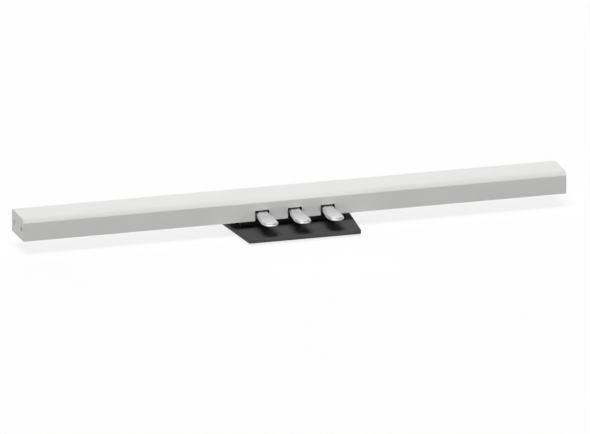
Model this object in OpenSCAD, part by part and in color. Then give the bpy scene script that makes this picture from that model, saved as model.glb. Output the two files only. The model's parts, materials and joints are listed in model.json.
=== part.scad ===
// Three-pedal cross bar for the stand of a digital piano.
// Millimetres, +Z up, front towards -Y. The origin is on the floor, under the middle of the whole object.

/* [Bar] */
// Length of the cross bar between its end faces
bar_l = 1160; // [900:10:1300]
// Depth of the bar from front face to back face
bar_d = 83; // [83:1:86]
// Height of the bar's cross-section
bar_h = 47; // [46:0.5:54]
// Leg of the bevel along the bar's top front edge
bar_bevel = 8; // [5:0.5:12]
// Thickness of the bar's sheet
bar_wall = 1.6; // [1.4:0.1:1.8]
// Height of the bar's underside above the floor
bar_z = 28; // [28:0.5:30]

/* [Base] */
// Depth of the base pan
base_d = 160; // [160:1:166]
// Width of the base pan along its front edge
base_w = 240; // [236:1:260]
// Angle at which each side of the pan spreads towards the back
base_flare = 5.6; // [4:0.2:8]
// Height of the pan
base_h = 8.5; // [8:0.5:8.5]
// Thickness of the pan's sheet
base_wall = 1.6; // [1.4:0.1:1.8]
// How far the pan reaches out in front of the bar
base_reach = 74; // [72:1:80]
// Height of the rubber feet below the pan
foot_h = 5; // [4.5:0.5:5]

/* [Pedals] */
// Distance between neighbouring pedals
pedal_pitch = 70; // [68:1:74]
// Widest part of a pedal
pedal_w = 37; // [32:1:40]
// Width of a pedal where it passes through the bar
neck_w = 26; // [24:0.5:27]
// How far a pedal stands out from the bar
pedal_reach = 73.5; // [64:0.5:76]
// Slope of a pedal at rest, down towards its tip
pedal_tilt = 4.2; // [4:0.1:4.4]
// Width of each slot in the bar
slot_w = 30; // [28:1:32]
// Height of each slot in the bar
slot_h = 22.5; // [22:0.5:24]

/* [Mechanism] */
// Diameter of the pivot shaft
shaft_d = 8; // [7:0.5:8]
// Diameter of the cable that the grommet takes
cable_d = 5; // [4:0.5:6]
// Distance between the two stand screws at each end of the bar
stand_bolt_gap = 50; // [40:1:50]

/* [Hidden] */
SIDES = ["soft", "sostenuto", "damper"];
$fn = 48;

// Radial clearances: of what turns, and of what is held still
run = 0.05;
snug = 0.02;

// Screw radii: M4 and M3 with their clearance holes
m4 = 2;
m3 = 1.5;
screw_play = 0.05;

// Bar
bar_y = base_reach - base_d / 2;
bar_y1 = bar_y + bar_d;
bar_top = bar_z + bar_h;
bar_mid_y = bar_y + bar_d / 2;
bar_mid_z = bar_z + bar_h / 2 - 1;
cap_t = 3;
shell_l = bar_l - 2 * cap_t;
flange = 10;
slot_depth = flange + bar_wall + 2;
tray_gap = 0.2;
tray_t = 1.2;
tray_x0 = 130;
tray_x1 = shell_l / 2 - 12;
tray_z = bar_z + bar_wall + tray_gap;
stand_bolt_r = 2.5;
stand_boss_r = 6.5;
bracket_t = 4;
bracket_x1 = shell_l / 2 - 8.1;

// Base
base_z = foot_h;
base_top = base_z + base_h;
base_under = base_top - base_wall;
foot_r = 9;
foot_x = 92;
foot_y = 52;
foot_top = 7;

// Pedals, from left to right: soft, sostenuto, damper
pedal_x = [-pedal_pitch, 0, pedal_pitch];
pedal_z = bar_z + 19.7;
pedal_t = 6;
plateau_t = 1.5;
rim = 3.5;
neck_in = 20;
flare_y = -2;
toe_l = 22;
toe_cut = 3.5;
skirt_t = 3;
skirt_h = 10;
lever_w = 14;
lever_h = 14;
lever_screw_y = [1, 9];

// Pivot: its place behind the bar's front face and above the floor, and in a pedal's own tilted frame
pivot_y = bar_y + 61;
pivot_z = bar_z + 16;
hub_y = (pivot_y - bar_y) * cos(pedal_tilt) + (pivot_z - pedal_z) * sin(pedal_tilt);
hub_z = (pivot_z - pedal_z) * cos(pedal_tilt) - (pivot_y - bar_y) * sin(pedal_tilt);
hub_r = 10;
hub_w = 26;
bush_t = 2;
shaft_r = shaft_d / 2;

// Chassis
chassis_w = 224;
chassis_wall = 3;
chassis_y0 = bar_y + bar_wall + flange + 0.9;
chassis_y1 = bar_y1 - bar_wall - 0.9;
chassis_top = bar_z + 32;
floor_z = base_top + chassis_wall;
bearing_x = 15;
bearing_t = 4;
shaft_l = 2 * (pedal_pitch + bearing_x + bearing_t + 3);
ear_z0 = bar_z - 3.1;
ear_z1 = bar_z - 0.1;
ear_front = [101, bar_y + bar_wall + flange / 2];
ear_back = [chassis_w / 2 + 7.5, bar_y1 - bar_wall - flange / 2];
chassis_screw_at = [[-100, 17], [100, 17], [-70, 62], [70, 62], [-35, 35], [35, 35]];

// Springs
spring_y = pivot_y - 28;
spring_r = 6.2;
spring_wire = 1.6;
spring_top = pivot_z - 10.5;

// Pegs inside the spring's ends: the chassis's, and the lever's, which swings and so needs more room
seat_boss_r = spring_r - spring_wire - 0.6;
lever_boss_r = spring_r - spring_wire - 1.8;

// Stops and sensors
rail_y = pivot_y - 25;
rail_w = 14;
rail_z = pivot_z + 9;
rail_t = 3;
rail_post_x = 103;
upper_felt_z = pivot_z + 6.3;
stop_y = pivot_y - 40;
stop_z = pivot_z - 16.3;
lower_felt_t = 2.5;
pin_y = pivot_y - 22;
pin_r = 1.5;
sensor_y = pin_y - 12;
arm_x = 9;
arm_t = 3;
sensor_x = 14;
sensor_w = 6;

// Signal board, on the chassis's back wall, and the cable's way out beside it
board_x = -pedal_pitch / 2;
board_w = 28;
board_t = 1.6;
board_z = [20, 50];
board_screw_z = [24, 46];
board_y = chassis_y1 - chassis_wall - 5;
grommet_x = pedal_pitch / 2;
grommet_z = base_top + 8.7;
grommet_r = 4;
grommet_lip = 1.4;

// ---- shared shapes ----

function unit(v) = v / norm(v);

// The corner p1 between p0 and p2, rounded to radius r
function rounded(p0, p1, p2, r, n) =
    let (a = unit(p0 - p1), b = unit(p2 - p1), half = acos(a * b) / 2)
    let (c = p1 + unit(a + b) * r / sin(half))
    let (s = p1 + a * r / tan(half) - c, e = p1 + b * r / tan(half) - c)
    let (a0 = atan2(s[1], s[0]), turn = atan2(s[0] * e[1] - s[1] * e[0], s * e))
    [for (i = [0:n]) c + r * [cos(a0 + turn * i / n), sin(a0 + turn * i / n)]];

// A polygon's points, with each corner rounded to its own radius
function round_poly(p, r, n = 6) = let (m = len(p))
    [for (i = [0:m - 1]) each rounded(p[(i + m - 1) % m], p[i], p[(i + 1) % m], r[i], n)];

module along_x(x0, x1) {
    translate([x0, 0, 0]) rotate([90, 0, 90]) linear_extrude(x1 - x0) children();
}

module rod_x(x0, x1, y, z, r) {
    translate([x0, y, z]) rotate([0, 90, 0]) cylinder(r = r, h = x1 - x0);
}

module rod_z(x, y, z0, z1, r) {
    translate([x, y, z0]) cylinder(r = r, h = z1 - z0);
}

module block(x0, x1, y0, y1, z0, z1) {
    translate([x0, y0, z0]) cube([x1 - x0, y1 - y0, z1 - z0]);
}

// Makes the right-hand one of a pair as it is, and the left-hand one as its mirror image
module on_side(s) {
    mirror([s < 0 ? 1 : 0, 0, 0]) children();
}

// Puts a pedal's own frame in place: origin on its upper face in the slot, -Y towards its tip
module at_pedal(i) {
    translate([pedal_x[i], bar_y, pedal_z]) rotate([pedal_tilt, 0, 0]) children();
}

// A screw with its head below the origin and its shank upwards.
// The head's height is high * r: 1.2 r for a pan head, and 0.6 r for a wafer head.
module screw(r, length, high = 1.2) {
    head_r = 1.85 * r;
    head_h = high * r;
    difference() {
        union() {
            cylinder(r = r, h = length);
            translate([0, 0, -head_h]) cylinder(r1 = head_r * 0.8, r2 = head_r, h = head_h * 0.4);
            translate([0, 0, -head_h * 0.6]) cylinder(r = head_r, h = head_h * 0.6);
        }
        for (turn = [0, 90]) translate([0, 0, -head_h]) rotate([0, 0, turn])
            cube([head_r * 1.1, r * 0.3, head_h], center = true);
    }
}

// ---- bar ----

// The bar's cross-section, as (y, z), drawn d inside its outer face
function bar_outline(d) = let (leg = bar_bevel - d * (2 - sqrt(2)), r = max(0.5, 2.2 - d)) round_poly(
    [[bar_y + d, bar_z + d], [bar_y1 - d, bar_z + d], [bar_y1 - d, bar_top - d],
     [bar_y + d + leg, bar_top - d], [bar_y + d, bar_top - d - leg]],
    [r * 0.6, r * 0.6, r * 1.2, r * 1.2, r * 0.8], 4);

bracket_screw_x = bar_l / 2 - 22;
tray_screw_x = tray_x0 + 8;
flange_screw_in = 7.6;
flange_y = [bar_y + flange_screw_in, bar_y1 - flange_screw_in];
wafer = 0.6;

module flange_hole(x, y) {
    rod_z(x, y, bar_z - 1, bar_z + bar_wall + 2, m4 + screw_play);
}

module bar_shell() {
    color("white") difference() {
        along_x(-shell_l / 2, shell_l / 2) difference() {
            polygon(bar_outline(0));
            polygon(bar_outline(bar_wall));
            translate([bar_y + bar_wall + flange, bar_z - 1])
                square([bar_d - 2 * (bar_wall + flange), bar_wall + 2]);
        }
        for (x = pedal_x) block(x - slot_w / 2, x + slot_w / 2, bar_y - 1, bar_y + slot_depth,
            bar_z - 1, bar_z + slot_h);
        block(-chassis_w / 2 - 0.6, chassis_w / 2 + 0.6, bar_y1 - bar_wall - flange - 1, bar_y1 - bar_wall,
            bar_z - 1, bar_z + bar_wall + 0.2);
        for (s = [-1, 1]) {
            flange_hole(s * ear_front[0], ear_front[1]);
            flange_hole(s * ear_back[0], ear_back[1]);
            for (x = [bracket_screw_x, tray_screw_x], y = flange_y) flange_hole(s * x, y);
        }
    }
}

// The sheet that closes the bar's underside between the pedal chassis and one end
module bar_tray(s) {
    color("gainsboro") on_side(s) difference() {
        block(tray_x0, tray_x1, bar_y + bar_wall + tray_gap, bar_y1 - bar_wall - tray_gap, tray_z,
            tray_z + tray_t);
        for (x = [bracket_screw_x, tray_screw_x], y = flange_y)
            rod_z(x, y, tray_z - 1, tray_z + tray_t + 1, m4 + screw_play);
    }
}

module tray_screws() {
    color("darkgray") for (s = [-1, 1], y = flange_y) translate([s * tray_screw_x, y, bar_z])
        screw(m4, 6, wafer);
}

// A moulded cap over one end of the bar, with a rim that plugs into it
module end_cap(s) {
    color("whitesmoke") on_side(s) difference() {
        union() {
            along_x(shell_l / 2, bar_l / 2) polygon(bar_outline(0));
            along_x(shell_l / 2 - 8, shell_l / 2) difference() {
                polygon(bar_outline(bar_wall + 0.15));
                polygon(bar_outline(bar_wall + 2.2));
            }
        }
        for (y = [-1, 1] * stand_bolt_gap / 2)
            rod_x(shell_l / 2 - 1, bar_l / 2 + 1, bar_mid_y + y, bar_mid_z, stand_boss_r + 0.2);
    }
}

// A steel bracket inside one end of the bar, whose two threaded bosses take the stand's screws
module end_bracket(s) {
    leg_z = tray_z + tray_t;
    color("silver") on_side(s) difference() {
        union() {
            block(bracket_x1 - bracket_t, bracket_x1, bar_y + bar_wall + 3.6, bar_y1 - bar_wall - 3.6,
                leg_z, bar_top - bar_wall - bar_bevel - 2);
            block(bracket_x1 - 34, bracket_x1, bar_y + bar_wall + 0.6, bar_y1 - bar_wall - 0.6,
                leg_z, leg_z + 3);
            for (y = [-1, 1] * stand_bolt_gap / 2)
                rod_x(bracket_x1 - bracket_t - 4, bar_l / 2, bar_mid_y + y, bar_mid_z, stand_boss_r);
        }
        for (y = [-1, 1] * stand_bolt_gap / 2)
            rod_x(bracket_x1 - 20, bar_l / 2 + 1, bar_mid_y + y, bar_mid_z, stand_bolt_r);
        for (y = flange_y) rod_z(bracket_screw_x, y, leg_z - 1, leg_z + 4, m4 + screw_play);
    }
}

module end_bracket_screws() {
    color("darkgray") for (s = [-1, 1], y = flange_y) translate([s * bracket_screw_x, y, bar_z])
        screw(m4, 8, wafer);
}

// ---- base ----

// Half the pan's width at depth y
function pan_half(y) = base_w / 2 + (y + base_d / 2) * tan(base_flare);

function pan_outline(d) = let (f = base_d / 2 - d, front = pan_half(-f) - d, back = pan_half(f) - d)
    round_poly([[-front, -f], [front, -f], [back, f], [-back, f]], [for (i = [0:3]) max(0.8, 4 - d)]);

module at_feet() {
    for (x = [-foot_x, foot_x], y = [-foot_y, foot_y]) translate([x, y, 0]) children();
}

module base_pan() {
    color([0.16, 0.16, 0.17]) difference() {
        union() {
            difference() {
                translate([0, 0, base_z]) linear_extrude(base_h) polygon(pan_outline(0));
                translate([0, 0, base_z - 1]) linear_extrude(base_h - base_wall + 1)
                    polygon(pan_outline(base_wall));
            }
            at_feet() rod_z(0, 0, foot_top, base_top - 0.5, 5);
        }
        for (p = chassis_screw_at) rod_z(p[0], p[1], base_z, base_top + 1, m4 + screw_play);
        at_feet() rod_z(0, 0, foot_top - 1, base_top - 1.2, m3 + screw_play);
    }
}

module base_feet() {
    color([0.1, 0.1, 0.1]) at_feet() difference() {
        rod_z(0, 0, 0, foot_top, foot_r);
        rod_z(0, 0, -1, 3, 4.2);
        rod_z(0, 0, 2, foot_top + 1, m3 + screw_play);
    }
}

module foot_screws() {
    color("darkgray") at_feet() translate([0, 0, 3]) screw(m3, 8.5);
}

// ---- chassis ----

module chassis_tub() {
    w = chassis_w / 2;
    block(-w, w, chassis_y0, chassis_y1, base_top, floor_z);
    block(-w, w, chassis_y0, chassis_y0 + chassis_wall, base_top, bar_z - 2);
    block(-w, w, chassis_y1 - chassis_wall, chassis_y1, base_top, chassis_top);
    for (p = chassis_screw_at) rod_z(p[0], p[1], base_top, floor_z + 7, 4.5);
    for (s = [-1, 1]) on_side(s) {
        block(w - chassis_wall, w, chassis_y0, chassis_y1, base_top, chassis_top);
        block(ear_front[0] - 9, ear_front[0] + 9, bar_y + 2.5, chassis_y0 + 1, ear_z0, ear_z1);
        block(w - 1, ear_back[0] + 8, chassis_y1 - 16, chassis_y1, ear_z0, ear_z1);
        block(ear_front[0] - 9, ear_front[0] + 9, chassis_y0, chassis_y0 + chassis_wall,
            base_top, ear_z1);
        rod_z(rail_post_x, rail_y, base_top, rail_z, 5);
    }
}

// Bearing walls, spring seat, lower stop and sensor post of the pedal at x
module chassis_station(x) {
    for (wall_x = [x - bearing_x - bearing_t, x + bearing_x])
        block(wall_x, wall_x + bearing_t, pivot_y - 14, chassis_y1 - 1, base_top, pivot_z + 12);
    rod_z(x, spring_y, base_top, floor_z + 5, seat_boss_r);
    block(x - 6, x + 6, stop_y - 3, stop_y + 3, base_top, stop_z);
    block(x + sensor_x + sensor_w, x + sensor_x + sensor_w + 3, sensor_y - 6, sensor_y + 6, base_top,
        pivot_z + 6);
}

module pedal_chassis() {
    color([0.13, 0.13, 0.14]) difference() {
        union() {
            chassis_tub();
            for (x = pedal_x) chassis_station(x);
            for (z = board_screw_z) translate([board_x, chassis_y1 - 1, z]) rotate([90, 0, 0])
                cylinder(r = 3.5, h = chassis_y1 - 1 - board_y - board_t);
        }
        rod_x(-shaft_l / 2, shaft_l / 2, pivot_y, pivot_z, shaft_r + snug);
        for (p = chassis_screw_at) rod_z(p[0], p[1], base_top - 1, floor_z + 6, m4 + screw_play);
        for (s = [-1, 1]) {
            rod_z(s * ear_front[0], ear_front[1], ear_z0 - 1, ear_z1 + 1, m4 + screw_play);
            rod_z(s * ear_back[0], ear_back[1], ear_z0 - 1, ear_z1 + 1, m4 + screw_play);
            rod_z(s * rail_post_x, rail_y, rail_z - 12, rail_z + 1, m4 + screw_play);
        }
        for (z = board_screw_z) translate([board_x, chassis_y1 - 2, z]) rotate([90, 0, 0])
            cylinder(r = m3 + screw_play, h = 10);
        translate([grommet_x, chassis_y1 + 1, grommet_z]) rotate([90, 0, 0])
            cylinder(r = grommet_r + snug, h = chassis_wall + 2);
    }
}

module chassis_screws() {
    color("darkgray") for (p = chassis_screw_at) translate([p[0], p[1], base_under]) screw(m4, 9);
}

module shell_screws() {
    color([0.13, 0.13, 0.14]) for (s = [-1, 1], p = [ear_front, ear_back])
        translate([s * p[0], p[1], ear_z0]) screw(m4, 7, wafer);
}

module cable_grommet() {
    color([0.1, 0.1, 0.1]) translate([grommet_x, chassis_y1, grommet_z]) rotate([90, 0, 0]) difference() {
        union() {
            translate([0, 0, -2]) cylinder(r = grommet_r + grommet_lip, h = 2);
            cylinder(r = grommet_r, h = chassis_wall);
            translate([0, 0, chassis_wall]) cylinder(r = grommet_r + grommet_lip, h = 2);
        }
        translate([0, 0, -3]) cylinder(r = cable_d / 2 + 0.1, h = chassis_wall + 6);
    }
}

// ---- shaft, stops and springs ----

clip_x = pedal_pitch + bearing_x + bearing_t + 0.3;
clip_t = 1;
groove_r = shaft_r - 0.7;

module pivot_shaft() {
    color("silver") difference() {
        rod_x(-shaft_l / 2, shaft_l / 2, pivot_y, pivot_z, shaft_r);
        for (s = [-1, 1]) on_side(s) difference() {
            rod_x(clip_x, clip_x + clip_t + 0.1, pivot_y, pivot_z, shaft_r + 1);
            rod_x(clip_x - 1, clip_x + clip_t + 1, pivot_y, pivot_z, groove_r);
        }
    }
}

// Each clip is a sprung ring, open at the top
module shaft_clips() {
    color("dimgray") for (s = [-1, 1]) on_side(s) difference() {
        rod_x(clip_x, clip_x + clip_t, pivot_y, pivot_z, shaft_r + 3);
        rod_x(clip_x - 1, clip_x + clip_t + 1, pivot_y, pivot_z, groove_r + snug);
        block(clip_x - 1, clip_x + clip_t + 1, pivot_y - 2.6, pivot_y + 2.6,
            pivot_z, pivot_z + shaft_r + 4);
    }
}

module stop_rail() {
    x = rail_post_x + 5;
    color([0.3, 0.3, 0.32]) difference() {
        union() {
            block(-x, x, rail_y - rail_w / 2, rail_y + rail_w / 2, rail_z, rail_z + rail_t);
            block(-x, x, rail_y - rail_w / 2, rail_y - rail_w / 2 + rail_t, rail_z, rail_z + 10);
        }
        for (s = [-1, 1]) rod_z(s * rail_post_x, rail_y, rail_z - 1, rail_z + rail_t + 1, m4 + screw_play);
    }
}

module stop_rail_screws() {
    color("darkgray") for (s = [-1, 1]) translate([s * rail_post_x, rail_y, rail_z + rail_t])
        rotate([180, 0, 0]) screw(m4, 12);
}

module upper_stop_felts() {
    color("firebrick") for (x = pedal_x)
        block(x - 6, x + 6, rail_y - 6, rail_y + 6, upper_felt_z, rail_z);
}

module lower_stop_felts() {
    color("firebrick") for (x = pedal_x)
        block(x - 6, x + 6, stop_y - 3, stop_y + 3, stop_z, stop_z + lower_felt_t);
}

// A compression spring: a wire of six-sided section wound from z0 up to z1
module coil_spring(x, y, z0, z1) {
    turns = 5;
    steps = 12 * turns;
    sides = 6;
    r = spring_wire / 2;
    rise = (z1 - z0 - spring_wire) / steps;
    points = [for (i = [0:steps], j = [0:sides - 1])
        let (a = 30 * i, b = 60 * j, d = spring_r - r + r * cos(b))
        [x + d * cos(a), y + d * sin(a), z0 + r + rise * i + r * sin(b)]];
    walls = [for (i = [0:steps - 1], j = [0:sides - 1])
        [i * sides + j, i * sides + (j + 1) % sides,
         (i + 1) * sides + (j + 1) % sides, (i + 1) * sides + j]];
    ends = [[for (j = [sides - 1:-1:0]) j], [for (j = [0:sides - 1]) steps * sides + j]];
    polyhedron(points, concat(walls, ends), convexity = 8);
}

module spring(i) {
    color("silver") coil_spring(pedal_x[i], spring_y, floor_z, spring_top);
}

// ---- pedals ----

// A pedal's plan outline, drawn d inside its edge: a straight neck that flares to a broad rounded toe
function pedal_outline(d) = let (n = neck_w / 2 - d, w = pedal_w / 2 - d, toe = -pedal_reach + d)
    round_poly([[n, neck_in], [n, flare_y], [w, toe + toe_l], [w - toe_cut, toe + toe_cut], [0, toe],
                [toe_cut - w, toe + toe_cut], [-w, toe + toe_l], [-n, flare_y], [-n, neck_in]],
               [0.5, 60, 33, 13 - d / 2, 28 - 4 * d, 13 - d / 2, 33, 60, 0.5]);

module pedal(i) {
    skirt_side = [[neck_in, -plateau_t - 1], [neck_in, -skirt_h], [-22, -skirt_h], [-56, -pedal_t],
                  [-56, -plateau_t - 1]];
    color("gainsboro") at_pedal(i) difference() {
        union() {
            translate([0, 0, -pedal_t]) linear_extrude(pedal_t - plateau_t) polygon(pedal_outline(0));
            translate([0, 0, -plateau_t - 1]) linear_extrude(plateau_t + 1) polygon(pedal_outline(rim));
            intersection() {
                translate([0, 0, -skirt_h - 1]) linear_extrude(skirt_h) difference() {
                    polygon(pedal_outline(0));
                    polygon(concat(pedal_outline(skirt_t), [[skirt_t - neck_w / 2, neck_in + 1],
                        [neck_w / 2 - skirt_t, neck_in + 1]]));
                }
                along_x(-pedal_w, pedal_w) polygon(skirt_side);
            }
        }
        for (y = lever_screw_y) rod_z(0, y, -pedal_t - 1, -2, m4 + screw_play);
    }
}

// The lever that carries the pedal: hub, arm, spring seat and the pin that drives the sensor
module lever(i) {
    x = pedal_x[i];
    arm = [[-4, -pedal_t], [neck_in + 0.3, -pedal_t], [neck_in + 0.3, -plateau_t], [hub_y, hub_z + 8],
           [hub_y, hub_z - 8], [16, -lever_h], [-2, -lever_h], [-4, 2 - lever_h]];
    color([0.13, 0.13, 0.14]) difference() {
        union() {
            at_pedal(i) along_x(-lever_w / 2, lever_w / 2) polygon(arm);
            rod_x(x - hub_w / 2, x + hub_w / 2, pivot_y, pivot_z, hub_r);
            rod_z(x, spring_y, spring_top, spring_top + 5, spring_r + 0.3);
            rod_z(x, spring_y, spring_top - 3.5, spring_top + 1, lever_boss_r);
            rod_x(x, x + arm_x + arm_t + 0.2, pin_y, pivot_z, pin_r);
        }
        rod_x(x - hub_w, x + hub_w, pivot_y, pivot_z, shaft_r + bush_t + snug);
        at_pedal(i) for (y = lever_screw_y) rod_z(0, y, -lever_h - 1, -pedal_t + 1, m4 + screw_play);
    }
}

module lever_screws(i) {
    color("darkgray") at_pedal(i) for (y = lever_screw_y) translate([0, y, -lever_h])
        screw(m4, lever_h - 2.5);
}

// Two flanged bushes, pushed into the hub from its ends
module bushes(i) {
    color("ivory") for (s = [-1, 1]) translate([pedal_x[i], 0, 0]) on_side(s) difference() {
        union() {
            rod_x(2, hub_w / 2, pivot_y, pivot_z, shaft_r + bush_t);
            rod_x(hub_w / 2, hub_w / 2 + 1, pivot_y, pivot_z, shaft_r + bush_t + 2);
        }
        rod_x(1, hub_w, pivot_y, pivot_z, shaft_r + run);
    }
}

// ---- sensors ----

sensor_shaft_r = 2;

module sensor(i) {
    x = pedal_x[i] + sensor_x;
    color([0.2, 0.25, 0.4]) difference() {
        union() {
            block(x, x + sensor_w, sensor_y - 6, sensor_y + 6, pivot_z - 6, pivot_z + 6);
            for (y = [-3, 0, 3]) rod_z(x + sensor_w / 2, sensor_y + y, pivot_z - 9, pivot_z - 5, 0.5);
        }
        rod_x(x - 1, x + sensor_w - 1, sensor_y, pivot_z, sensor_shaft_r + run);
    }
}

// A forked arm on the sensor's shaft, driven by the pin on the lever
module sensor_arm(i) {
    x = pedal_x[i] + arm_x;
    fork_w = pin_r + 0.3;
    color("ivory") difference() {
        union() {
            rod_x(x, x + arm_t, sensor_y, pivot_z, 4.5);
            block(x, x + arm_t, sensor_y, pin_y + 4, pivot_z - 4.5, pivot_z + 4.5);
            rod_x(x + arm_t - 1, pedal_x[i] + sensor_x + sensor_w - 1.5, sensor_y, pivot_z, sensor_shaft_r);
        }
        block(x - 1, x + arm_t + 1, pin_y - 4, pin_y + 5, pivot_z - fork_w, pivot_z + fork_w);
    }
}

module signal_board() {
    color("darkgreen") difference() {
        block(board_x - board_w / 2, board_x + board_w / 2, board_y, board_y + board_t,
            board_z[0], board_z[1]);
        for (z = board_screw_z) translate([board_x, board_y + board_t + 1, z]) rotate([90, 0, 0])
            cylinder(r = m3 + screw_play, h = board_t + 2);
    }
}

module board_connector() {
    y = board_y;
    color("ivory") difference() {
        block(board_x - 11, board_x + 11, y - 6, y, 31, 39);
        block(board_x - 9.5, board_x + 9.5, y - 7, y - 1.5, 32.5, 37.5);
    }
}

module board_screws() {
    color("darkgray") for (z = board_screw_z) translate([board_x, board_y, z]) rotate([-90, 0, 0])
        screw(m3, 5.5);
}

bar_shell();
bar_tray(-1);  // bar_tray_left
bar_tray(1);  // bar_tray_right
tray_screws();
end_cap(-1);  // end_cap_left
end_cap(1);  // end_cap_right
end_bracket(-1);  // end_bracket_left
end_bracket(1);  // end_bracket_right
end_bracket_screws();
base_pan();
base_feet();
foot_screws();
pedal_chassis();
chassis_screws();
shell_screws();
pivot_shaft();
shaft_clips();
stop_rail();
stop_rail_screws();
upper_stop_felts();
lower_stop_felts();
for (i = [0:2]) {
    pedal(i);
    lever(i);
    bushes(i);
    lever_screws(i);
    spring(i);
    sensor(i);
    sensor_arm(i);
}
signal_board();
board_connector();
board_screws();
cable_grommet();
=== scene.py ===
# %% [markdown]
# # The three-pedal cross bar of a digital piano's stand
#
# The bar is a long sheet-metal channel with a satin white powder coat. Three satin chrome pedals come
# out of slots in its front, over a flat black base. The working parts, their places and the way they
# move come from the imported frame. This notebook gives the visible parts their real edges, folds and
# finishes, and then lights them like a product on a pale table.

# %% Load the frame
import json
import math

import bmesh
import bpy
from mathutils import Matrix, Vector


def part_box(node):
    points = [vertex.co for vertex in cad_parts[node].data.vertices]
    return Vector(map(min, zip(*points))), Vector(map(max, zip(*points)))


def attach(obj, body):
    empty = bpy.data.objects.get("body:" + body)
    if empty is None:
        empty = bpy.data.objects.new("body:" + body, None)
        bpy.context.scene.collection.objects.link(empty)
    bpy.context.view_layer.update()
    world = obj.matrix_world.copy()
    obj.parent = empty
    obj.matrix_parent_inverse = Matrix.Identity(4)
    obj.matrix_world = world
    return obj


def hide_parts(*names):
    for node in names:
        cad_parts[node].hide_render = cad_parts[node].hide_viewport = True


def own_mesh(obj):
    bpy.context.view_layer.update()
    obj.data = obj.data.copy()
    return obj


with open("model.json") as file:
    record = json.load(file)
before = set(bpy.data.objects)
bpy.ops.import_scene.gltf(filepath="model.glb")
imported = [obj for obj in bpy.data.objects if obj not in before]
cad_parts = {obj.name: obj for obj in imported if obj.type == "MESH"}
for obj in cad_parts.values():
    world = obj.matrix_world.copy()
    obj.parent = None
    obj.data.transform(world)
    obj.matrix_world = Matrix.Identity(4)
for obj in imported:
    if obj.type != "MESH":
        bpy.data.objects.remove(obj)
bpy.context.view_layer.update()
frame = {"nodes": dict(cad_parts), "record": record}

MM = 0.001
print("nodes:", len(frame["nodes"]))

# %% [markdown]
# ## The camera
#
# A camera far away sees parallel edges as parallel, which an orthographic camera does exactly. It
# stands to the left of the bar's middle and looks down a little. It aims at a point on the bar's front
# face, just above its lower edge, so the middle pedal is in the middle of the picture.

# %% Camera
bar_low, bar_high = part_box("bar_shell")
bar_front = bar_low.y
bar_under = bar_low.z

camera_turn = math.radians(-16.8)
camera_height = math.radians(17.18)
camera_distance = 4.0
aim = Vector((0, bar_front, bar_under + 1.9 * MM))

camera_data = bpy.data.cameras.new("camera")
camera_data.type = "ORTHO"
camera_data.ortho_scale = 1.2072
camera = bpy.data.objects.new("camera", camera_data)
bpy.context.scene.collection.objects.link(camera)
away = Vector((math.sin(camera_turn) * math.cos(camera_height),
               -math.cos(camera_turn) * math.cos(camera_height),
               math.sin(camera_height)))
camera.location = aim + camera_distance * away
camera.rotation_euler = away.to_track_quat("Z", "Y").to_euler()
bpy.context.scene.camera = camera
print("camera at", [round(value, 3) for value in camera.location])

# %% [markdown]
# ## Nodes and colours
#
# A finish is a small tree of nodes. Two helpers keep it readable. One turns the sRGB hex value that a
# colour chart gives into the linear numbers that a shader adds up. The other adds a node, fills in its
# settings and joins its links. A pattern's scale is the number of its features in a metre, so it comes
# from the size of one feature in millimetres. Every finish then joins its patterns to its shader in
# the same way: one gives the colour, one the gloss and one the relief.

# %% Helpers for finishes
def linear(hex_colour):
    """The linear colour of an sRGB hex value such as "E6E6E4"."""
    channels = [int(hex_colour[i:i + 2], 16) / 255 for i in (0, 2, 4)]
    return tuple(c / 12.92 if c <= 0.04045 else ((c + 0.055) / 1.055) ** 2.4 for c in channels) + (1.0,)


def add(tree, kind, settings=None, links=None):
    """Adds one node, with values for its settings and sockets, and links into its sockets."""
    node = tree.nodes.new(kind)
    for name, value in (settings or {}).items():
        if name in node.inputs:
            node.inputs[name].default_value = value
        else:
            setattr(node, name, value)
    for name, socket in (links or {}).items():
        tree.links.new(socket, node.inputs[name])
    return node


def per_metre(feature_mm):
    """How many features of this size, in millimetres, there are in a metre."""
    return 1000 / feature_mm


def start_finish(name, settings):
    """A new material with a shader, and the place on the object that its patterns read."""
    material = bpy.data.materials.new(name)
    material.use_nodes = True
    tree = material.node_tree
    shader = tree.nodes["Principled BSDF"]
    for socket, value in settings.items():
        shader.inputs[socket].default_value = value
    place = add(tree, "ShaderNodeTexCoord").outputs["Object"]
    return material, tree, shader, place


def use_patterns(tree, shader, tint, colours, gloss=None, roughness=(0, 1), relief=None, depth_mm=0):
    """Lets a pattern blend two colours, and others spread the roughness and raise the surface."""
    ramp = add(tree, "ShaderNodeValToRGB", links={"Fac": tint.outputs["Fac"]})
    for stop, colour in zip(ramp.color_ramp.elements, colours):
        stop.color = linear(colour)
    tree.links.new(ramp.outputs["Color"], shader.inputs["Base Color"])
    if gloss:
        spread = add(tree, "ShaderNodeMapRange", {"To Min": roughness[0], "To Max": roughness[1]},
                     {"Value": gloss.outputs["Fac"]})
        tree.links.new(spread.outputs["Result"], shader.inputs["Roughness"])
    if relief:
        bump = add(tree, "ShaderNodeBump", {"Distance": depth_mm * MM},
                   {"Height": relief.outputs["Fac"]})
        tree.links.new(bump.outputs["Normal"], shader.inputs["Normal"])


# %% [markdown]
# ## Powder coat
#
# Powder is sprayed on dry and baked, so it flows into a thin skin with the faint waves called orange
# peel. The waves are about 2 mm long. They are drawn 3 mm long, so that they just show. The satin
# white of the bar has almost nothing else. The black of the base has a finer, sandy texture with
# it, which spreads its gloss, and a trace of dust that makes it a little rougher in places.

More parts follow.
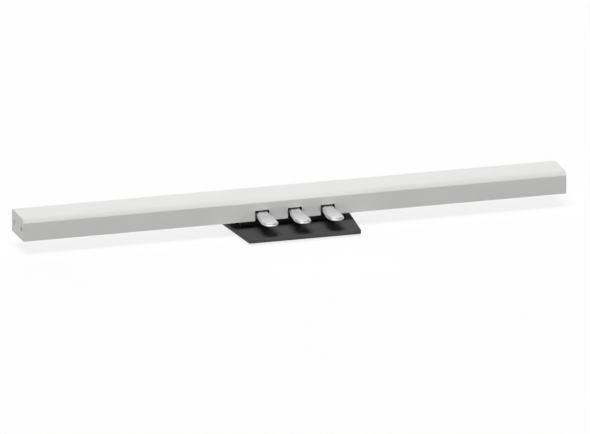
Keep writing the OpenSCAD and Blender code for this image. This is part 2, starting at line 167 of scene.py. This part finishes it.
# %% White powder coat
def white_powder_coat():
    material, tree, shader, place = start_finish("white_powder_coat_satin", {"IOR": 1.5})
    peel = add(tree, "ShaderNodeTexNoise", {"Scale": per_metre(3), "Detail": 2.0}, {"Vector": place})
    cloud = add(tree, "ShaderNodeTexNoise", {"Scale": per_metre(90), "Detail": 3.0}, {"Vector": place})
    use_patterns(tree, shader, cloud, ("D8D8D7", "DDDDDC"), peel, (0.42, 0.5), peel, 0.06)
    return material


bar_white = white_powder_coat()
print("made", bar_white.name)


# %% Black powder coat
def black_powder_coat():
    material, tree, shader, place = start_finish(
        "black_powder_coat_sand", {"IOR": 1.5, "Specular IOR Level": 0.2})
    sand = add(tree, "ShaderNodeTexNoise", {"Scale": per_metre(1.2), "Detail": 3.0}, {"Vector": place})
    dust = add(tree, "ShaderNodeTexNoise", {"Scale": per_metre(60), "Detail": 4.0}, {"Vector": place})
    use_patterns(tree, shader, dust, ("404041", "464647"), dust, (0.6, 0.7), sand, 0.02)
    return material


base_black = black_powder_coat()
print("made", base_black.name)

# %% [markdown]
# ## Satin chrome
#
# The pedals are zinc castings, brushed along their length and then chrome plated. The brushing leaves
# fine grooves under the plate, so it mirrors what is around it in a soft, slightly streaked way. Real
# grooves are about 0.1 mm apart. They are drawn 0.8 mm apart and 40 mm long, so that they show. Feet
# polish the metal in places, which the slow change in roughness stands for.

# %% Satin chrome
def satin_chrome():
    material, tree, shader, place = start_finish("satin_chrome_plate", {"Metallic": 1.0})
    stretch = add(tree, "ShaderNodeMapping", {"Scale": (per_metre(0.8), per_metre(40), per_metre(2))},
                  {"Vector": place})
    grooves = add(tree, "ShaderNodeTexNoise", {"Scale": 1.0, "Detail": 2.0},
                  {"Vector": stretch.outputs["Vector"]})
    worn = add(tree, "ShaderNodeTexNoise", {"Scale": per_metre(25), "Detail": 2.0}, {"Vector": place})
    use_patterns(tree, shader, worn, ("F2F2F2", "F7F7F7"), worn, (0.36, 0.42), grooves, 0.008)
    return material


pedal_chrome = satin_chrome()
print("made", pedal_chrome.name)

# %% [markdown]
# ## Moulded plastics, rubber and felt
#
# Moulded parts take the spark-eroded texture of their mould, a fine even grain. The end caps are
# ABS in the bar's white. The chassis is glass-filled nylon, whose fibres make a slightly cloudy,
# duller black. The bushes, connector and sensor arms are natural acetal, which is ivory and slippery.
# Rubber feet are matt, with a bloom of grey. Felt is a mat of wool fibres with a soft sheen.

# %% Plastics
def moulded(name, colours, roughness, grain_mm, ior):
    """A moulded plastic or rubber: grain from the mould, and a slow change in colour and gloss."""
    material, tree, shader, place = start_finish(name, {"IOR": ior})
    grain = add(tree, "ShaderNodeTexNoise", {"Scale": per_metre(grain_mm), "Detail": 3.0},
                {"Vector": place})
    cloud = add(tree, "ShaderNodeTexNoise", {"Scale": per_metre(35), "Detail": 3.0}, {"Vector": place})
    use_patterns(tree, shader, cloud, colours, grain, roughness, grain, 0.04)
    return material


cap_white = moulded("white_abs_textured", ("D6D6D5", "DCDCDB"), (0.5, 0.6), 1.0, 1.54)
chassis_black = moulded("black_glass_filled_nylon", ("0E0E0F", "151516"), (0.55, 0.7), 1.5, 1.53)
acetal_ivory = moulded("natural_acetal", ("D9D3BE", "E2DCC8"), (0.35, 0.45), 2.0, 1.48)
sensor_blue = moulded("dark_blue_sensor_moulding", ("16233F", "1B2A4A"), (0.4, 0.5), 1.2, 1.5)
black_oxide = moulded("black_oxide_screw", ("101011", "171718"), (0.4, 0.5), 0.8, 1.5)
foot_rubber = moulded("black_rubber_matt", ("121212", "1D1D1D"), (0.75, 0.9), 1.0, 1.52)
print("made six moulded finishes")


# %% Felt
def wool_felt():
    sheen = {"Sheen Weight": 0.6, "Sheen Roughness": 0.5}
    material, tree, shader, place = start_finish(
        "dark_red_wool_felt", {"IOR": 1.5, "Roughness": 0.95, **sheen})
    fibres = add(tree, "ShaderNodeTexNoise",
                 {"Scale": per_metre(0.6), "Detail": 6.0, "Distortion": 2.0}, {"Vector": place})
    use_patterns(tree, shader, fibres, ("3B1013", "51171B"), relief=fibres, depth_mm=0.3)
    return material


felt_red = wool_felt()
print("made", felt_red.name)

# %% [markdown]
# ## Bare and plated steel
#
# The sheets, brackets and screws are zinc plated, which is grey with a slow blue and straw tint and
# fine rolling lines. The pivot shaft is ground, with rings round it. Springs are drawn wire, darker
# and oily. The lever is a casting with a thin black coat.

# %% Steels
def steel(name, colours, roughness, line_mm, lines_along):
    """Steel with fine lines from rolling, grinding or drawing, which run along one axis."""
    material, tree, shader, place = start_finish(name, {"Metallic": 1.0})
    spacing = [per_metre(30) if axis == lines_along else per_metre(line_mm) for axis in "XYZ"]
    stretch = add(tree, "ShaderNodeMapping", {"Scale": spacing}, {"Vector": place})
    lines = add(tree, "ShaderNodeTexNoise", {"Scale": 1.0, "Detail": 2.0},
                {"Vector": stretch.outputs["Vector"]})
    tint = add(tree, "ShaderNodeTexNoise", {"Scale": per_metre(20), "Detail": 2.0}, {"Vector": place})
    use_patterns(tree, shader, tint, colours, lines, roughness, lines, 0.01)
    return material


zinc_sheet = steel("zinc_plated_sheet", ("A9ADB2", "B9B7AE"), (0.35, 0.5), 1.0, "X")
zinc_screw = steel("zinc_plated_screw", ("8E9298", "A09E97"), (0.3, 0.42), 0.5, "Z")
shaft_steel = steel("ground_steel", ("B4B4B6", "C2C2C3"), (0.18, 0.28), 0.4, "Y")
spring_steel = steel("drawn_spring_steel", ("6E6E72", "7F7F82"), (0.3, 0.4), 0.5, "Z")
print("made four steels")

# %% [markdown]
# ## Circuit board
#
# A board is glass cloth in resin under a green solder mask. Copper tracks under the mask show as
# lighter, slightly raised bands. A brick pattern with long bricks gives bands with gaps in them, at
# the 2.54 mm pitch that boards are laid out on.

# %% Solder mask
def solder_mask():
    material, tree, shader, place = start_finish("green_solder_mask", {"IOR": 1.5, "Roughness": 0.28})
    turned = add(tree, "ShaderNodeMapping", {"Rotation": (math.radians(90), 0, 0)}, {"Vector": place})
    tracks = add(tree, "ShaderNodeTexBrick",
                 {"Scale": per_metre(2.54), "Mortar Size": 0.18, "Brick Width": 6.0, "Row Height": 1.0,
                  "Color1": linear("17603A"), "Color2": linear("1B6B41"), "Mortar": linear("0E4427")},
                 {"Vector": turned.outputs["Vector"]})
    bump = add(tree, "ShaderNodeBump", {"Distance": -0.04 * MM}, {"Height": tracks.outputs["Fac"]})
    tree.links.new(tracks.outputs["Color"], shader.inputs["Base Color"])
    tree.links.new(bump.outputs["Normal"], shader.inputs["Normal"])
    return material


board_green = solder_mask()
print("made", board_green.name)


# %% [markdown]
# ## Helpers for pieces
#
# A piece is modelled in a bmesh. It then becomes an object that rides on a body of the frame, stands
# for the frame's plain node, and takes its finish. Two modifiers finish it. Bevel rounds what is
# still sharp, because no real edge is perfectly sharp and a rounded one catches the light. Weighted
# Normal keeps large flat faces flat where small rounded ones meet them.

# %% Helpers for pieces
def make_piece(name, mesh_maker, finish, body, nodes):
    """Turns a bmesh into a piece that rides on a body and stands for some nodes."""
    mesh = bpy.data.meshes.new(name)
    mesh_maker.to_mesh(mesh)
    mesh_maker.free()
    mesh.shade_smooth()
    mesh.materials.append(finish)
    piece = bpy.data.objects.new(name, mesh)
    bpy.context.scene.collection.objects.link(piece)
    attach(piece, body)
    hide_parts(*nodes)
    return piece


def soften(piece, width_mm, segments=2, angle=40):
    """Rounds the edges that are sharper than angle, and keeps flat faces flat."""
    bevel = piece.modifiers.new("rounded edges", "BEVEL")
    bevel.width = width_mm * MM
    bevel.segments = segments
    bevel.limit_method = "ANGLE"
    bevel.angle_limit = math.radians(angle)
    bevel.harden_normals = True


def level_faces(piece):
    """Makes large faces set the direction of the shared corners."""
    piece.modifiers.new("flat faces", "WEIGHTED_NORMAL").keep_sharp = True


def round_edges(mesh_maker, edges, width_mm, segments):
    """Rounds some edges of a bmesh."""
    bmesh.ops.bevel(mesh_maker, geom=edges, offset=width_mm * MM, offset_type="OFFSET",
                    segments=segments, profile=0.5, affect="EDGES", clamp_overlap=True, material=-1)


def round_corners(mesh_maker, corners, width_mm, segments):
    """Rounds some corners of a flat outline."""
    bmesh.ops.bevel(mesh_maker, geom=corners, offset=width_mm * MM, offset_type="OFFSET",
                    segments=segments, profile=0.5, affect="VERTICES", clamp_overlap=True, material=-1)


def report_piece(piece):
    """Prints how large a piece is."""
    corners = [Vector(corner) for corner in piece.bound_box]
    size = [max(c[axis] for c in corners) - min(c[axis] for c in corners) for axis in range(3)]
    print(piece.name, "is", " x ".join(f"{value / MM:.1f}" for value in size), "mm,",
          len(piece.data.polygons), "faces")


# %% [markdown]
# ## The bar
#
# The real bar is one sheet, 1.6 mm thick, whose slots are punched while it is flat. It is then folded
# into a channel with a bevel along its top front edge and two flanges below. The model follows that
# order. A line through the folds is drawn out along the bar in steps that end at the slots' sides.
# The faces where the slots are go, the folds are rounded, and Solidify gives the sheet its thickness.
# The bevel's folds turn by 45 degrees and the others by 90, which tells them apart. From here on,
# sizes are in millimetres and angles in radians, and what comes from the frame is in metres.

# %% Sizes of the bar
sheet = 1.6
flange = 10
bevel_leg = 8
slot_width = 30
slot_height = 22.5
chassis_half = 112.6
back_fold = 2.6
bevel_fold = 0.9
other_fold = 1.3
flat_below = 0.3
shallow_below = 1.0
pedal_pitch = 70
pedal_centres = (-pedal_pitch, 0, pedal_pitch)
print("bar:", [round(v, 1) for v in (bar_high - bar_low) / MM])


# %% Fold line of the bar, and its stations along the length
def bar_folds():
    """The sheet's outer line, as (y, z), from the front flange over the top to the back flange."""
    front, back, under, top = bar_low.y, bar_high.y, bar_low.z, bar_high.z
    inward = (flange + sheet) * MM
    return [(front + inward, under), (front, under), (front, under + slot_height * MM),
            (front, top - bevel_leg * MM), (front + bevel_leg * MM, top), (back, top), (back, under),
            (back - inward, under)]


def bar_stations():
    """Where the bar is divided along its length: at its ends, the slots and the chassis."""
    sides = [centre + side * slot_width / 2 for centre in pedal_centres for side in (-1, 1)]
    return sorted([bar_low.x / MM, bar_high.x / MM, -chassis_half, chassis_half] + sides)


def in_slot(middle):
    """Whether a face's middle is where a slot or the chassis's opening is."""
    x = middle.x / MM
    by_slot = any(abs(x - centre) < slot_width / 2 for centre in pedal_centres)
    low_front = middle.y < bar_low.y + (flange + sheet) * MM and middle.z < bar_low.z + slot_height * MM
    back_flange = middle.y > bar_high.y - (flange + sheet) * MM and middle.z < bar_low.z + 0.1 * MM
    return (by_slot and low_front) or (abs(x) < chassis_half and back_flange)


def thicken(piece):
    """Gives a folded surface the thickness of its sheet, on its inner side."""
    thickness = piece.modifiers.new("sheet", "SOLIDIFY")
    thickness.thickness = sheet * MM
    thickness.offset = -1
    thickness.use_even_offset = True


# %% Bar
def make_bar():
    bar = bmesh.new()
    stations = bar_stations()
    line = [bar.verts.new((stations[0] * MM, y, z)) for y, z in bar_folds()]
    edges = [bar.edges.new(pair) for pair in zip(line, line[1:])]
    for here, there in zip(stations, stations[1:]):
        grown = bmesh.ops.extrude_edge_only(bar, edges=edges)["geom"]
        edges = [part for part in grown if isinstance(part, bmesh.types.BMEdge)]
        moved = [part for part in grown if isinstance(part, bmesh.types.BMVert)]
        bmesh.ops.translate(bar, verts=moved, vec=((there - here) * MM, 0, 0))
    holes = [face for face in bar.faces if in_slot(face.calc_center_median())]
    bmesh.ops.delete(bar, geom=holes, context="FACES")
    bmesh.ops.recalc_face_normals(bar, faces=bar.faces)
    if max(bar.faces, key=lambda face: face.calc_center_median().z).normal.z < 0:
        bmesh.ops.reverse_faces(bar, faces=bar.faces)
    folds = [edge for edge in bar.edges if len(edge.link_faces) == 2
             and edge.calc_face_angle() > flat_below]
    top_back = [edge for edge in folds if edge.verts[0].co.y > bar_high.y - MM
                and edge.verts[0].co.z > bar_high.z - MM]
    shallow = [edge for edge in folds if edge.calc_face_angle() < shallow_below]
    low = [edge for edge in folds if edge not in top_back and edge not in shallow]
    round_edges(bar, top_back, back_fold, 5)
    round_edges(bar, [edge for edge in shallow if edge.is_valid], bevel_fold, 3)
    round_edges(bar, [edge for edge in low if edge.is_valid], other_fold, 4)
    piece = make_piece("bar", bar, bar_white, "unit", ["bar_shell"])
    thicken(piece)
    soften(piece, 0.3, 2, 50)
    return piece


bar = make_bar()
report_piece(bar)

# %% [markdown]
# ## The base
#
# The base is a shallow pan, folded down on all four sides from black sheet. Seen from above it is
# wider at the back than at the front. A flat outline gets rounded corners, is drawn down into walls,
# and its top edge is rounded by the fold. The underside stays open, and Solidify gives the sheet.

# %% Base pan
base_low, base_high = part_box("base_pan")
base_flare = math.tan(math.radians(5.6))
base_depth = base_high.y - base_low.y
base_corner = 4
base_fold = 1.5


def make_base():
    pan = bmesh.new()
    back_half = base_high.x
    front_half = back_half - base_depth * base_flare
    outline = [(-front_half, base_low.y), (front_half, base_low.y), (back_half, base_high.y),
               (-back_half, base_high.y)]
    corners = [pan.verts.new((x, y, base_high.z)) for x, y in outline]
    pan.faces.new(corners)
    round_corners(pan, corners, base_corner, 6)
    top = max(pan.faces, key=lambda face: face.calc_area())
    rim = [edge for edge in pan.edges if edge.is_boundary]
    grown = bmesh.ops.extrude_edge_only(pan, edges=rim)["geom"]
    lowered = [part for part in grown if isinstance(part, bmesh.types.BMVert)]
    bmesh.ops.translate(pan, verts=lowered, vec=(0, 0, base_low.z - base_high.z))
    bmesh.ops.recalc_face_normals(pan, faces=pan.faces)
    if top.normal.z < 0:
        bmesh.ops.reverse_faces(pan, faces=pan.faces)
    fold = [edge for edge in pan.edges if not edge.is_boundary
            and all(abs(corner.co.z - base_high.z) < 1e-6 for corner in edge.verts)]
    round_edges(pan, fold, base_fold, 4)
    piece = make_piece("base", pan, base_black, "unit", ["base_pan"])
    thicken(piece)
    level_faces(piece)
    return piece


base = make_base()
report_piece(base)

# %% [markdown]
# ## The pedals
#
# Each pedal is a casting with a straight neck, a flare and a broad, rounded toe. Its upper side has a
# raised middle inside a rim, and its edge rolls over into a bright lip. Under the neck two ribs make
# it stiff, with the lever between them. They have their full depth near the slot and run out 56 mm
# from it. The outline is a face of a few corners, which are rounded. It is drawn down into a plate
# whose sides slope inwards, as a casting's do so that it leaves its mould. The upper edge is rounded
# over, and the flat that is left is inset twice for the rim and the raised middle. The ribs are drawn
# down from the underside's edge. At last the whole casting is cut across every 4 mm, so that it can
# be curved: it drops from the slot and levels out at the toe, where the foot rests.

# %% Sizes of a pedal
pedal_slope = math.radians(4.2)
pedal_height = 19.7
pedal_reach = 73.5
pedal_half = 18.5
neck_half = 13
neck_in = 20
toe_length = 22
toe_cut = 3.5
plate = 6
raised = 2.5
lip = 1.7
rim_width = 3.3
step_width = 0.5
middle_spread = 1.05
rib_thick = 3
rib_depth = 4
draft = 0.95
toe_thinning = 0.8
rib_end = 56
rib_slope = 34
middle_edge = 0.8
cut_gap = 4
hollow = 1.3


def pedal_corners():
    """The corners of a pedal's right side and its tip: across, along, and how far it is rounded."""
    return [(neck_half, neck_in, 0), (neck_half, -2, 6), (pedal_half, toe_length - pedal_reach, 5),
            (pedal_half - toe_cut, toe_cut - pedal_reach, 8.4), (0, -pedal_reach, 6.5)]


# %% Parts of a pedal
def flat_face(casting, facing):
    """The largest face that looks up (1) or down (-1)."""
    casting.normal_update()
    flat = [face for face in casting.faces if face.normal.z * facing > 0.9]
    return max(flat, key=lambda face: face.calc_area())


def share_of_reach(corner):
    """How far a corner is from the slot towards the tip, from 0 to 1."""
    return min(1, max(0, -corner.co.y / MM / pedal_reach))


def pedal_plate(casting):
    """The plate: the outline with rounded corners, drawn down to a slightly smaller underside."""
    right = [(across, along) for across, along, rounding in pedal_corners()]
    left = [(-across, along) for across, along in reversed(right[:-1])]
    casting.faces.new([casting.verts.new((x * MM, y * MM, -raised * MM)) for x, y in right + left])
    for across, along, rounding in pedal_corners():
        near = [corner for corner in casting.verts if abs(abs(corner.co.x) - across * MM) < 1e-6
                and abs(corner.co.y - along * MM) < 1e-6]
        if rounding:
            round_corners(casting, near, rounding, 10)
    grown = bmesh.ops.extrude_face_region(casting, geom=casting.faces[:])["geom"]
    moved = [part for part in grown if isinstance(part, bmesh.types.BMVert)]
    bmesh.ops.translate(casting, verts=moved, vec=(0, 0, -(plate - raised) * MM))
    for corner in moved:
        share = share_of_reach(corner)
        corner.co.y += (1 - draft) * pedal_half * share * MM
        corner.co.z += toe_thinning * share * MM
        if share > 0:
            corner.co.x *= draft
    bmesh.ops.recalc_face_normals(casting, faces=casting.faces)


def pedal_top(casting):
    """The rolled edge, the rim and the raised middle."""
    round_edges(casting, list(flat_face(casting, 1).edges), lip, 6)
    bmesh.ops.inset_region(casting, faces=[flat_face(casting, 1)], thickness=(rim_width - lip) * MM,
                           use_even_offset=True)
    for corner in flat_face(casting, 1).verts:
        corner.co.x *= middle_spread
    bmesh.ops.inset_region(casting, faces=[flat_face(casting, 1)], thickness=step_width * MM,
                           depth=raised * MM, use_even_offset=True)
    round_edges(casting, list(flat_face(casting, 1).edges), middle_edge, 4)


def pedal_ribs(casting):
    """The two ribs under the neck, which get lower towards the toe."""
    ring = bmesh.ops.inset_region(casting, faces=[flat_face(casting, -1)], thickness=rib_thick * MM,
                                  use_even_offset=True)["faces"]
    ribs = [face for face in ring if abs(face.calc_center_median().x) > (neck_half - rib_thick) * MM
            and face.calc_center_median().y > (toe_length - pedal_reach) * MM]
    grown = bmesh.ops.extrude_face_region(casting, geom=ribs)["geom"]
    for corner in [part for part in grown if isinstance(part, bmesh.types.BMVert)]:
        share = min(1, max(0.03, (corner.co.y / MM + rib_end) / rib_slope))
        corner.co.z -= rib_depth * share * MM
        corner.co.x *= draft
    bmesh.ops.recalc_face_normals(casting, faces=casting.faces)


def pedal_curve(casting):
    """The gentle hollow along a pedal, which needs cuts across it."""
    for along in range(5, math.ceil(pedal_reach), cut_gap):
        everything = casting.verts[:] + casting.edges[:] + casting.faces[:]
        bmesh.ops.bisect_plane(casting, geom=everything, dist=1e-6, plane_co=(0, -along * MM, 0),
                               plane_no=(0, 1, 0))
    for corner in casting.verts:
        share = share_of_reach(corner)
        corner.co.z -= 4 * hollow * share * (1 - share) * MM


# %% Pedals
def make_pedal(name, centre):
    casting = bmesh.new()
    pedal_plate(casting)
    pedal_top(casting)
    pedal_ribs(casting)
    pedal_curve(casting)
    bmesh.ops.transform(casting, matrix=Matrix.Rotation(pedal_slope, 4, "X"), verts=casting.verts)
    bmesh.ops.translate(casting, verts=casting.verts,
                        vec=(centre * MM, bar_front, bar_under + pedal_height * MM))
    node = name + "_pedal"
    piece = make_piece(node + "_casting", casting, pedal_chrome, node, [node])
    soften(piece, 0.5, 3, 50)
    level_faces(piece)
    return piece


pedal_names = ("soft", "sostenuto", "damper")
for name, centre in zip(pedal_names, pedal_centres):
    report_piece(make_pedal(name, centre))

# %% [markdown]
# ## The springs
#
# Each return spring is a coil of drawn wire. A circle of wire is spun round the coil's axis and moved
# up a little at each step, which is how a screw thread is made too.

# %% Springs
wire_radius = 0.8
coil_turns = 5
steps_a_turn = 24


def make_spring(name):
    coil = bmesh.new()
    low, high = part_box(name + "_spring")
    middle = (low + high) / 2
    wire_half = wire_radius * MM
    coil_half = (high.x - low.x) / 2 - wire_half
    steps = steps_a_turn * coil_turns
    rise = (high.z - low.z - 2 * wire_half) / steps
    circle = bmesh.ops.create_circle(coil, cap_ends=False, segments=8, radius=wire_half)["verts"]
    upright = Matrix.Rotation(math.radians(90), 3, "X")
    bmesh.ops.rotate(coil, verts=circle, cent=(0, 0, 0), matrix=upright)
    bmesh.ops.translate(coil, verts=circle, vec=(middle.x + coil_half, middle.y, low.z + wire_half))
    bmesh.ops.spin(coil, geom=coil.edges[:], cent=(middle.x, middle.y, 0), axis=(0, 0, 1),
                   dvec=(0, 0, rise), angle=math.tau * coil_turns, steps=steps, use_duplicate=False)
    bmesh.ops.holes_fill(coil, edges=[edge for edge in coil.edges if edge.is_boundary])
    bmesh.ops.recalc_face_normals(coil, faces=coil.faces)
    piece = make_piece(name + "_return_spring", coil, spring_steel, "unit", [name + "_spring"])
    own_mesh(piece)
    return piece


for name in pedal_names:
    report_piece(make_spring(name))

# %% [markdown]
# ## The rubber feet
#
# A foot is turned round its screw, so its half section is spun through a full turn. It has a wide
# sole with two ring grooves for grip, a sloped shoulder, and a well for the screw's head.

# %% Feet
feet_low, feet_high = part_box("base_feet")
foot_radius = 9
foot_inset = foot_radius * MM
foot_places = [(x, y) for x in (feet_low.x + foot_inset, feet_high.x - foot_inset)
               for y in (feet_low.y + foot_inset, feet_high.y - foot_inset)]


def foot_section():
    """Half of a foot's section, as (radius, height): its outside, the sole's rings and the well."""
    top = feet_high.z / MM
    outside = [(1.6, top), (8.2, top), (8.6, 5.2), (8.9, 1.0), (8.4, 0.2), (7.9, 0.0)]
    outer_ring = [(7.4, 0.0), (7.2, 0.7), (6.8, 0.7), (6.6, 0.0)]
    inner_ring = [(6.0, 0.0), (5.8, 0.7), (5.4, 0.7), (5.2, 0.0)]
    well = [(4.6, 0.0), (4.2, 0.3), (4.2, 3.0), (1.6, 3.0)]
    return outside + outer_ring + inner_ring + well


def make_feet():
    feet = bmesh.new()
    for x, y in foot_places:
        section = [feet.verts.new((x + radius * MM, y, height * MM))
                   for radius, height in foot_section()]
        loop = [feet.edges.new(pair) for pair in zip(section, section[1:] + section[:1])]
        bmesh.ops.spin(feet, geom=loop, cent=(x, y, 0), axis=(0, 0, 1), dvec=(0, 0, 0), angle=math.tau,
                       steps=40, use_merge=True, use_duplicate=False)
    bmesh.ops.remove_doubles(feet, verts=feet.verts, dist=1e-6)
    bmesh.ops.recalc_face_normals(feet, faces=feet.faces)
    piece = make_piece("rubber_feet", feet, foot_rubber, "unit", ["base_feet"])
    piece.data.set_sharp_from_angle(angle=math.radians(50))
    return piece


feet = make_feet()
report_piece(feet)

# %% [markdown]
# ## Moulded and formed parts
#
# The end caps, end brackets and the chassis already have their true shape in the frame. A copy of
# each is joined where its loose triangles meet, its flat faces are made whole, and its edges get the
# small radius that a mould or a tumbled casting leaves.

# %% Parts with softened edges
def refine(node, finish, radius_mm):
    """A merged copy of a node of the unit, with its edges softened."""
    copy = bmesh.new()
    copy.from_mesh(frame["nodes"][node].data)
    bmesh.ops.remove_doubles(copy, verts=copy.verts, dist=1e-6)
    bmesh.ops.dissolve_limit(copy, angle_limit=math.radians(0.5), use_dissolve_boundaries=False,
                             verts=copy.verts, edges=copy.edges, delimit=set())
    piece = make_piece(node + "_part", copy, finish, "unit", [node])
    soften(piece, radius_mm, 2, 50)
    return piece


for side in ("left", "right"):
    report_piece(refine("end_cap_" + side, cap_white, 0.7))
    report_piece(refine("end_bracket_" + side, zinc_sheet, 0.3))
report_piece(refine("pedal_chassis", chassis_black, 0.3))

# %% [markdown]
# ## Finishes of the other parts
#
# The rest of the frame's nodes already look right in shape, so each one only takes its finish.

# %% Finishes by slot
finish_of_slot = {
    "white_powder_coat": bar_white, "white_plastic": cap_white, "black_powder_coat": base_black,
    "black_plastic": chassis_black, "black_lever": base_black, "satin_chrome": pedal_chrome,
    "zinc_sheet": zinc_sheet, "zinc_screw": zinc_screw, "black_screw": black_oxide,
    "shaft_steel": shaft_steel, "spring_steel": spring_steel, "foot_rubber": foot_rubber,
    "felt": felt_red, "ivory_plastic": acetal_ivory, "sensor_plastic": sensor_blue,
    "circuit_board": board_green,
}
for subpart in frame["record"]["subparts"]:
    node_mesh = frame["nodes"][subpart["node"]].data
    node_mesh.materials.clear()
    node_mesh.materials.append(finish_of_slot[subpart["material_slot"]])

# %% [markdown]
# ## Floor and light
#
# The floor is a wide, matt table of white acrylic, lit from below, which keeps the shadows on it very
# pale. A broad panel almost overhead lights the bar's top most, its bevel a little less, and its front
# least, which is what shows its section. A panel low behind gives the pedals something bright to
# mirror. A low strip in front, with a grid that narrows its beam, lights the middle of the bar, where
# the black base throws back no light. It is hidden from mirrors, so the chrome doesn't show it. The
# sky gives little light but looks white past the table's edge, like a studio's paper background.

# %% Floor
def table_top():
    material, tree, shader, place = start_finish(
        "lit_white_table", {"Roughness": 0.9, "Specular IOR Level": 0.0, "Emission Color": (1, 1, 1, 1),
                            "Emission Strength": 0.84})
    cloud = add(tree, "ShaderNodeTexNoise", {"Scale": per_metre(400), "Detail": 2.0}, {"Vector": place})
    use_patterns(tree, shader, cloud, ("656565", "686868"))
    return material


floor_maker = bmesh.new()
bmesh.ops.create_grid(floor_maker, x_segments=4, y_segments=4, size=8)
floor_mesh = bpy.data.meshes.new("floor")
floor_maker.to_mesh(floor_mesh)
floor_maker.free()
floor_mesh.materials.append(table_top())
floor = bpy.data.objects.new("floor", floor_mesh)
bpy.context.scene.collection.objects.link(floor)
print("floor is", floor.dimensions.x, "m wide")

# %% Light
sky_share = 0.04
overhead_share = 1.02
back_share = 0.18
front_watts = 0.030

world = bpy.data.worlds.new("studio")
world.use_nodes = True
sky = world.node_tree.nodes["Background"]
sky.inputs["Color"].default_value = (1, 1, 1, 1)
seen = add(world.node_tree, "ShaderNodeLightPath").outputs["Is Camera Ray"]
strength = add(world.node_tree, "ShaderNodeMapRange", {"To Min": sky_share, "To Max": 1.0},
               {"Value": seen})
world.node_tree.links.new(strength.outputs["Result"], sky.inputs["Strength"])
bpy.context.scene.world = world


def add_light(name, kind, energy, towards, place=(0, 0, 0), mirrored=True):
    """A light at a place that shines from the direction called towards."""
    data = bpy.data.lights.new(name, kind)
    data.energy = energy
    light = bpy.data.objects.new(name, data)
    light.location = place
    light.rotation_euler = Vector(towards).to_track_quat("Z", "Y").to_euler()
    light.visible_camera = False
    light.visible_glossy = mirrored
    bpy.context.scene.collection.objects.link(light)
    return data


overhead = add_light("overhead_panel", "SUN", overhead_share * math.pi, (-0.10, -0.10, 1))
overhead.angle = math.radians(40)
back = add_light("back_panel", "SUN", back_share * math.pi, (0.2, 0.9, 0.34))
back.angle = math.radians(50)
front = add_light("front_strip", "AREA", front_watts, (0, -1, 0), (0, bar_front - 0.4, 0.015),
                  mirrored=False)
front.shape = "RECTANGLE"
front.size = 0.28
front.size_y = 0.02
front.spread = math.radians(25)

bpy.context.scene.view_settings.view_transform = "Standard"
print("sky", sky_share, "overhead", overhead_share, "back", back_share, "front", front_watts, "W")
